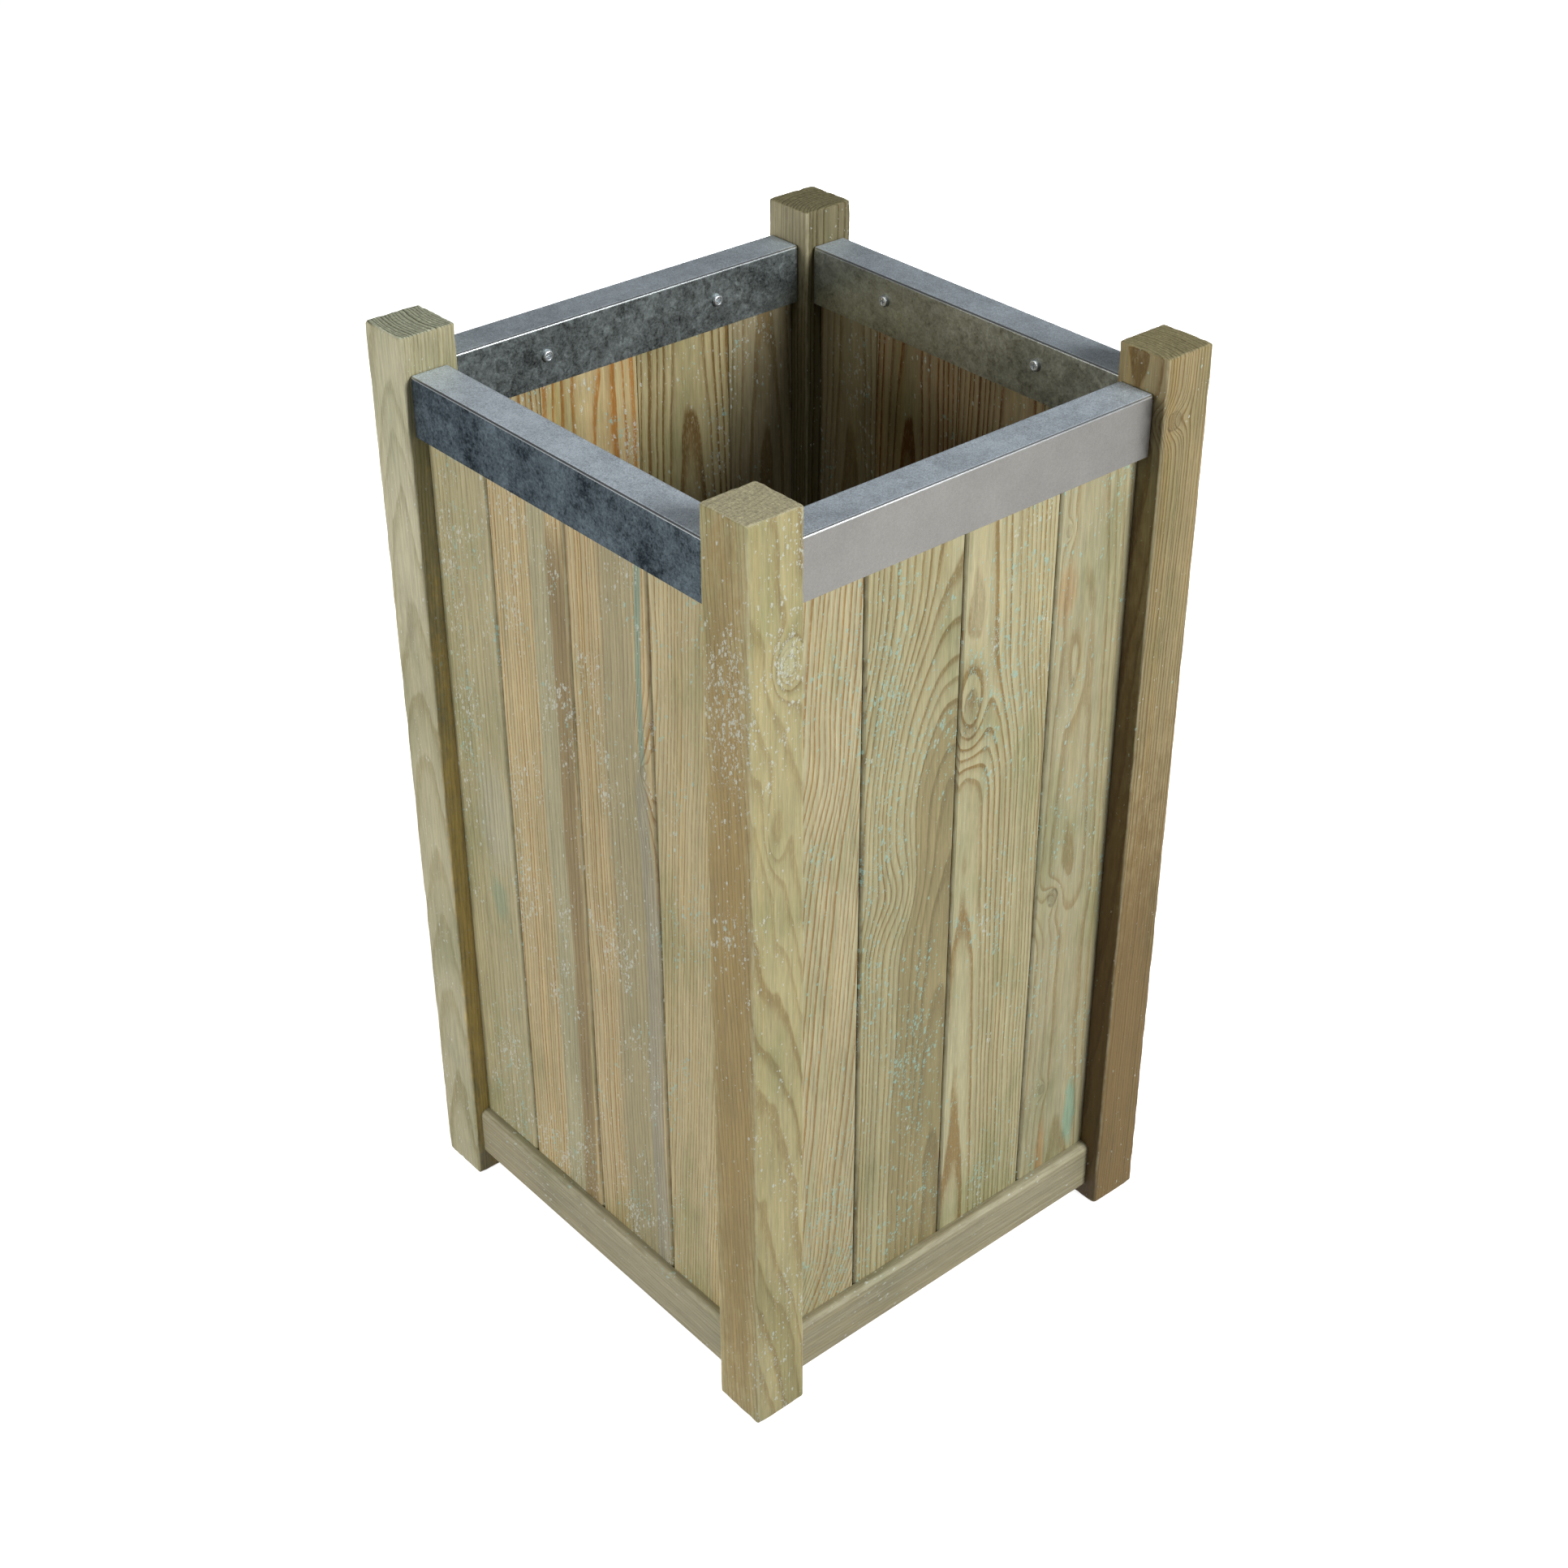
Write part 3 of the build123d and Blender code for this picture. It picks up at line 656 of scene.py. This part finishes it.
def build_post(node, material, seed):
    """A post with uneven arrises, nibbled end edges and slightly rough ends. It never leaves the CAD's box."""
    low, high = (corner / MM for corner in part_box(node))
    middle = (low + high) / 2
    half = (high.x - low.x) / 2
    height = high.z
    section = rounded_square(half, POST_ARRIS)
    rings = post_rings(half, height)
    on_axis = [(Vector((0, 0)), Vector((0, 0)), 0.0)]
    layers = [(0.0, 0.0, on_axis)] + [(z, share, section) for z, share in rings] + [(height, 0.0, on_axis)]
    vertices = []
    for z, share, outline in layers:
        to_end = min(z, height - z)
        for point, way, corner in outline:
            place = Vector((point.x * share, point.y * share, z))
            dent = 0.14 + 0.14 * wave(place, 60, seed)
            dent += corner * POST_WEAR * max(0.0, 0.9 * wave((place.x, place.y, z * 0.5), 9, seed) + 0.15)
            nibble = max(0.0, wave(place, 3.5, seed + 5)) * max(0.0, 1 - to_end / NIBBLE_DEPTH)
            if share > END_SHARES[-1]:
                dent += 1.3 * POST_WEAR * nibble
            sink = (0.25 + 0.25 * wave(place, 2.2, seed + 9)) * max(0.0, 1 - to_end / END_ARRIS)
            sink += 0.9 * POST_WEAR * nibble
            vertices.append((middle.x + place.x - way.x * dent * share, middle.y + place.y - way.y * dent * share,
                             z + (sink if z < height / 2 else -sink)))
    add_piece(node + "_worn", vertices, closed_faces(len(section), len(rings)), material, node)


# ---------------------------------------------------------------- each piece's own look

BOARDS = {
    "front_1": dict(pith=(-300, 10), ring=5.0, pale=(178, 170, 134), dark=(142, 130, 88),
                    contrast=0.6, years=0.2, warmth=0.0,
                    patches=(((-123, 0, 322), (13, 40, 24), (132, 158, 132), 0.5),
                             ((-120, 0, 400), (26, 40, 60), (176, 180, 164), 0.35)),
                    flecks=1.1, clusters=(((-148, 0, 560), (16, 40, 170), 0.25),), turquoise=0.5),
    "front_2": dict(pith=(-230, 20), lean=(0.01, 0.0), ring=3.7, ripple=2.2, pale=(192, 179, 138),
                    dark=(148, 112, 60), contrast=0.9, warmth=0.35,
                    bands=((-34, 13, 0, 800, (166, 162, 130), 0.8), (-14, 9, 0, 690, (136, 118, 80), 0.85)),
                    flecks=1.3, turquoise=0.35),
    "front_3": dict(pith=(-150, 25), ring=4.0, ripple=2.4, pale=(190, 177, 137), dark=(150, 112, 60),
                    swells=(((78, 0, 542), (18, 40, 50), 15),), warmth=0.35,
                    bands=((56, 22, 0, 800, (160, 152, 118), 0.8), (80, 8, 0, 540, (152, 152, 138), 0.6),
                           (81, 3.6, 545, 800, (122, 152, 136), 0.75)),
                    knots=(((79, 0, 542), 3.0, 1.8, 0.6),), flecks=1.3, turquoise=0.35),
    "front_4": dict(pith=(40, 26), lean=(0.06, 0.0), ring=3.3, ripple=2.0, pale=(190, 179, 140),
                    dark=(154, 130, 84), contrast=0.9, years=0.2, warmth=0.4, flecks=0.9, turquoise=0.9),
    "right_1": dict(pith=(-250, 20), lean=(0.10, 0.0), ring=4.6, ripple=1.8, pale=(188, 182, 148),
                    dark=(156, 126, 80), bends=((120, 20, -26, 0), (500, 600, 6, 0)),
                    swells=(((-128, 0, 555), (22, 40, 45), -7),), warmth=0.5, flecks=1.0, turquoise=1.3),
    "right_2": dict(pith=(-6, 44), ring=3.6, pale=(175, 169, 133), dark=(130, 112, 70),
                    bends=((500, 690, 0, 26), (460, 380, -8, 0)), heart=(66, (150, 138, 98), 0.85),
                    swells=(((-60, 0, 430), (20, 40, 34), 9),), warmth=0.3,
                    clusters=(((-70, 0, 560), (26, 40, 110), 0.35), ((-40, 0, 250), (40, 40, 100), 0.30)),
                    turquoise=1.1),
    "right_3": dict(pith=(10, 30), ring=3.5, pale=(183, 177, 141), dark=(142, 120, 76),
                    bends=((480, 620, 0, 12),), knots=(((9, 0, 560), 7.5, 2.7, 0.7),), warmth=0.3,
                    patches=(((12, 0, 655), (11, 40, 52), (190, 180, 142), 0.85),),
                    clusters=(((52, 0, 610), (36, 40, 80), 0.40),), turquoise=1.0),
    "right_4": dict(pith=(124, 28), ring=4.6, ripple=1.4, pale=(172, 166, 134), dark=(146, 130, 92),
                    bends=((380, 300, 12, 10),), swells=(((118, 0, 560), (10, 40, 46), 7),),
                    contrast=0.75, warmth=0.3,
                    knots=(((101, 0, 677), 3.0, 1.5, 0.5), ((110, 0, 349), 5.0, 1.6, 0.8),
                           ((113, 0, 149), 3.0, 1.5, 0.5)),
                    patches=(((150, 0, 104), (8, 40, 42), (120, 170, 150), 0.6),
                             ((103, 0, 626), (12, 40, 26), (176, 142, 96), 0.5),
                             ((116, 0, 60), (6, 40, 60), (184, 138, 84), 0.5)), turquoise=1.0),
    "back_2": dict(pith=(-60, 40), pale=(168, 152, 116), dark=(112, 80, 42), warmth=0.6),
    "back_3": dict(pith=(60, 40), pale=(168, 152, 116), dark=(118, 80, 40), warmth=0.8),
    "left_2": dict(pith=(-60, 50), ring=4.4, pale=(176, 166, 126), dark=(120, 96, 54), warmth=0.4),
    "left_3": dict(pith=(40, 19), lean=(0.0, 0.03), ring=6.5, ripple=3.0, pale=(194, 178, 134),
                   dark=(172, 124, 66), swells=(((30, 0, 640), (16, 40, 60), 8),), warmth=0.6, flecks=1.2),
    "left_4": dict(pith=(150, 40), ring=4.6, pale=(184, 172, 134), dark=(150, 112, 62), warmth=0.5, flecks=1.2),
}
RAIL = dict(pith=(-60, 20), ring=3.6, pale=(160, 154, 128), dark=(140, 131, 102), contrast=0.7, flecks=0.3)
# Painted reflections: the front's dark outer face, the right's light one, the bright tops, and the lighter inner faces
# at the back and left.
RIMS = {
    "front": dict(outer=(62, 70, 75), top=(222, 236, 248), cloudy=1.25),
    "right": dict(outer=(128, 127, 124), top=(206, 219, 230), cloudy=0.16),
    "back": dict(outer=(92, 98, 100), inner=(160, 164, 154), cloudy=0.6),
    "left": dict(outer=(92, 98, 100), inner=(140, 150, 152), cloudy=1.0),
}
POSTS = {
    "post_front_right": dict(pith=(90, -10), lean=(-0.060, 0.0), ring=4.2, ripple=2.6, sway=5.0,
                             pale=(180, 171, 128), dark=(130, 106, 58), contrast=0.50, years=0.9, warmth=0.3,
                             swells=(((216, 33, 684), (16, 13, 20), 16), ((216, 22, 560), (14, 10, 30), 8)),
                             patches=(((192, 0, 400), (30, 2, 500), (152, 128, 76), 0.8),
                                      ((216, 33, 690), (9, 9, 14), (206, 210, 176), 0.35)),
                             clusters=(((190, 0, 662), (22, 8, 46), 1.0), ((216, 31, 688), (9, 9, 13), 0.9)),
                             flecks=0.75, turquoise=0.1,
                             end_pale=(190, 184, 152), end_dark=(96, 88, 54), sawn=0.3),
    "post_front_left": dict(pith=(-190, 70), lean=(0.0, 0.040), ring=3.0, ripple=1.6,
                            pale=(180, 175, 144), dark=(144, 134, 92), contrast=0.6, warmth=0.15,
                            # The second patch is painted light: bright yellow on the post's right face, in the nook
                            # beside the front boards, for light bounced off them.
                            patches=(((-192, 0, 690), (40, 4, 190), (206, 203, 176), 0.42),
                                     ((-168, 30, 250), (3, 40, 420), (232, 206, 130), 0.9)),
                            flecks=0.5, turquoise=0.2,
                            end_pale=(196, 200, 174), end_dark=(88, 90, 66), sawn=1.1),
    "post_back_right": dict(pith=(190, -90), ring=3.0, pale=(158, 144, 106), dark=(120, 98, 58), years=0.6,
                            warmth=0.6, knots=(((216, 11, 746), 7.0, 1.0, 0.8),),
                            # The first patch darkens the post towards its foot.
                            # The second is painted shade: dark brown on the post's front face, in the nook beside the
                            # right boards.
                            patches=(((216, 22, 60), (60, 60, 420), (112, 88, 44), 0.8),
                                     ((190, 0, 300), (40, 2, 400), (112, 88, 50), 0.7)),
                            flecks=0.25, end_pale=(156, 148, 112), end_dark=(92, 84, 56)),
    "post_back_left": dict(pith=(-150, 10), ring=3.0, pale=(126, 119, 90), dark=(92, 82, 52), warmth=0.3,
                           patches=(((-192, 0, 790), (40, 4, 80), (180, 172, 140), 0.7),),
                           flecks=0.25, end_pale=(146, 140, 106), end_dark=(72, 66, 44)),
}


# ---------------------------------------------------------------- dressing the frame

def dress(node, material):
    """Puts a material on a node as packed."""
    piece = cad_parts[node]
    piece.data.materials.clear()
    piece.data.materials.append(material)


def face_middle(node, outward):
    """The middle of a node's outer face, at the node's foot, in millimetres."""
    low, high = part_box(node)
    out = Vector(outward)
    point = (low + high) / 2 + out * abs(out.dot(high - low)) / 2
    point.z = low.z
    return point / MM


def face_origin(node, outward):
    """Where the line straight out from the object's origin meets a node's outer face, in millimetres."""
    return outward * abs(face_middle(node, outward).dot(outward))


for side in OUTWARD:
    out, along, seed = Vector(OUTWARD[side]), ALONG_SIDE[side], SIDE_SEED[side]
    boards_origin = face_origin(f"board_{side}_1", out)
    for index in range(1, 5):
        node = f"board_{side}_{index}"
        spec = BOARDS.get(f"{side}_{index}", dict(pith=(-230 + 90 * index, 40), ring=4.2))
        dress(node, timber(node, boards_origin, along, -out, grime=True, seed=index * 1.7 + 3 * seed, **spec))
    for node in (f"bottom_rail_{side}", f"top_rail_{side}"):
        dress(node, timber(node, face_origin(node, out), UP, -out, along, seed=3.1 + seed, **RAIL))
    dress(f"rim_{side}", galvanised(f"rim_{side}", OUTWARD[side], seed=seed, **RIMS[side]))
for number, (node, spec) in enumerate(POSTS.items()):
    front = Vector((0, face_middle(node, OUTWARD["front"]).y, 0))
    wood = timber(node, front, (1, 0, 0), (0, 1, 0), seed=5.3 * number + 1, **spec)
    dress(node, wood)
    build_post(node, wood, 3.1 * number + 2)
for node in ("floor_batten_left", "floor_batten_right"):
    dress(node, timber(node, face_middle(node, UP), (1, 0, 0), (0, 0, -1), (0, 1, 0), seed=2))
for index in range(1, 5):
    node = f"floor_slat_{index}"
    dress(node, timber(node, face_middle(node, UP), (0, 1, 0), (0, 0, -1), (1, 0, 0), seed=index))
zinc = zinc_plate()
for node in ("rim_screws", "floor_screws", "batten_screws"):
    dress(node, zinc)
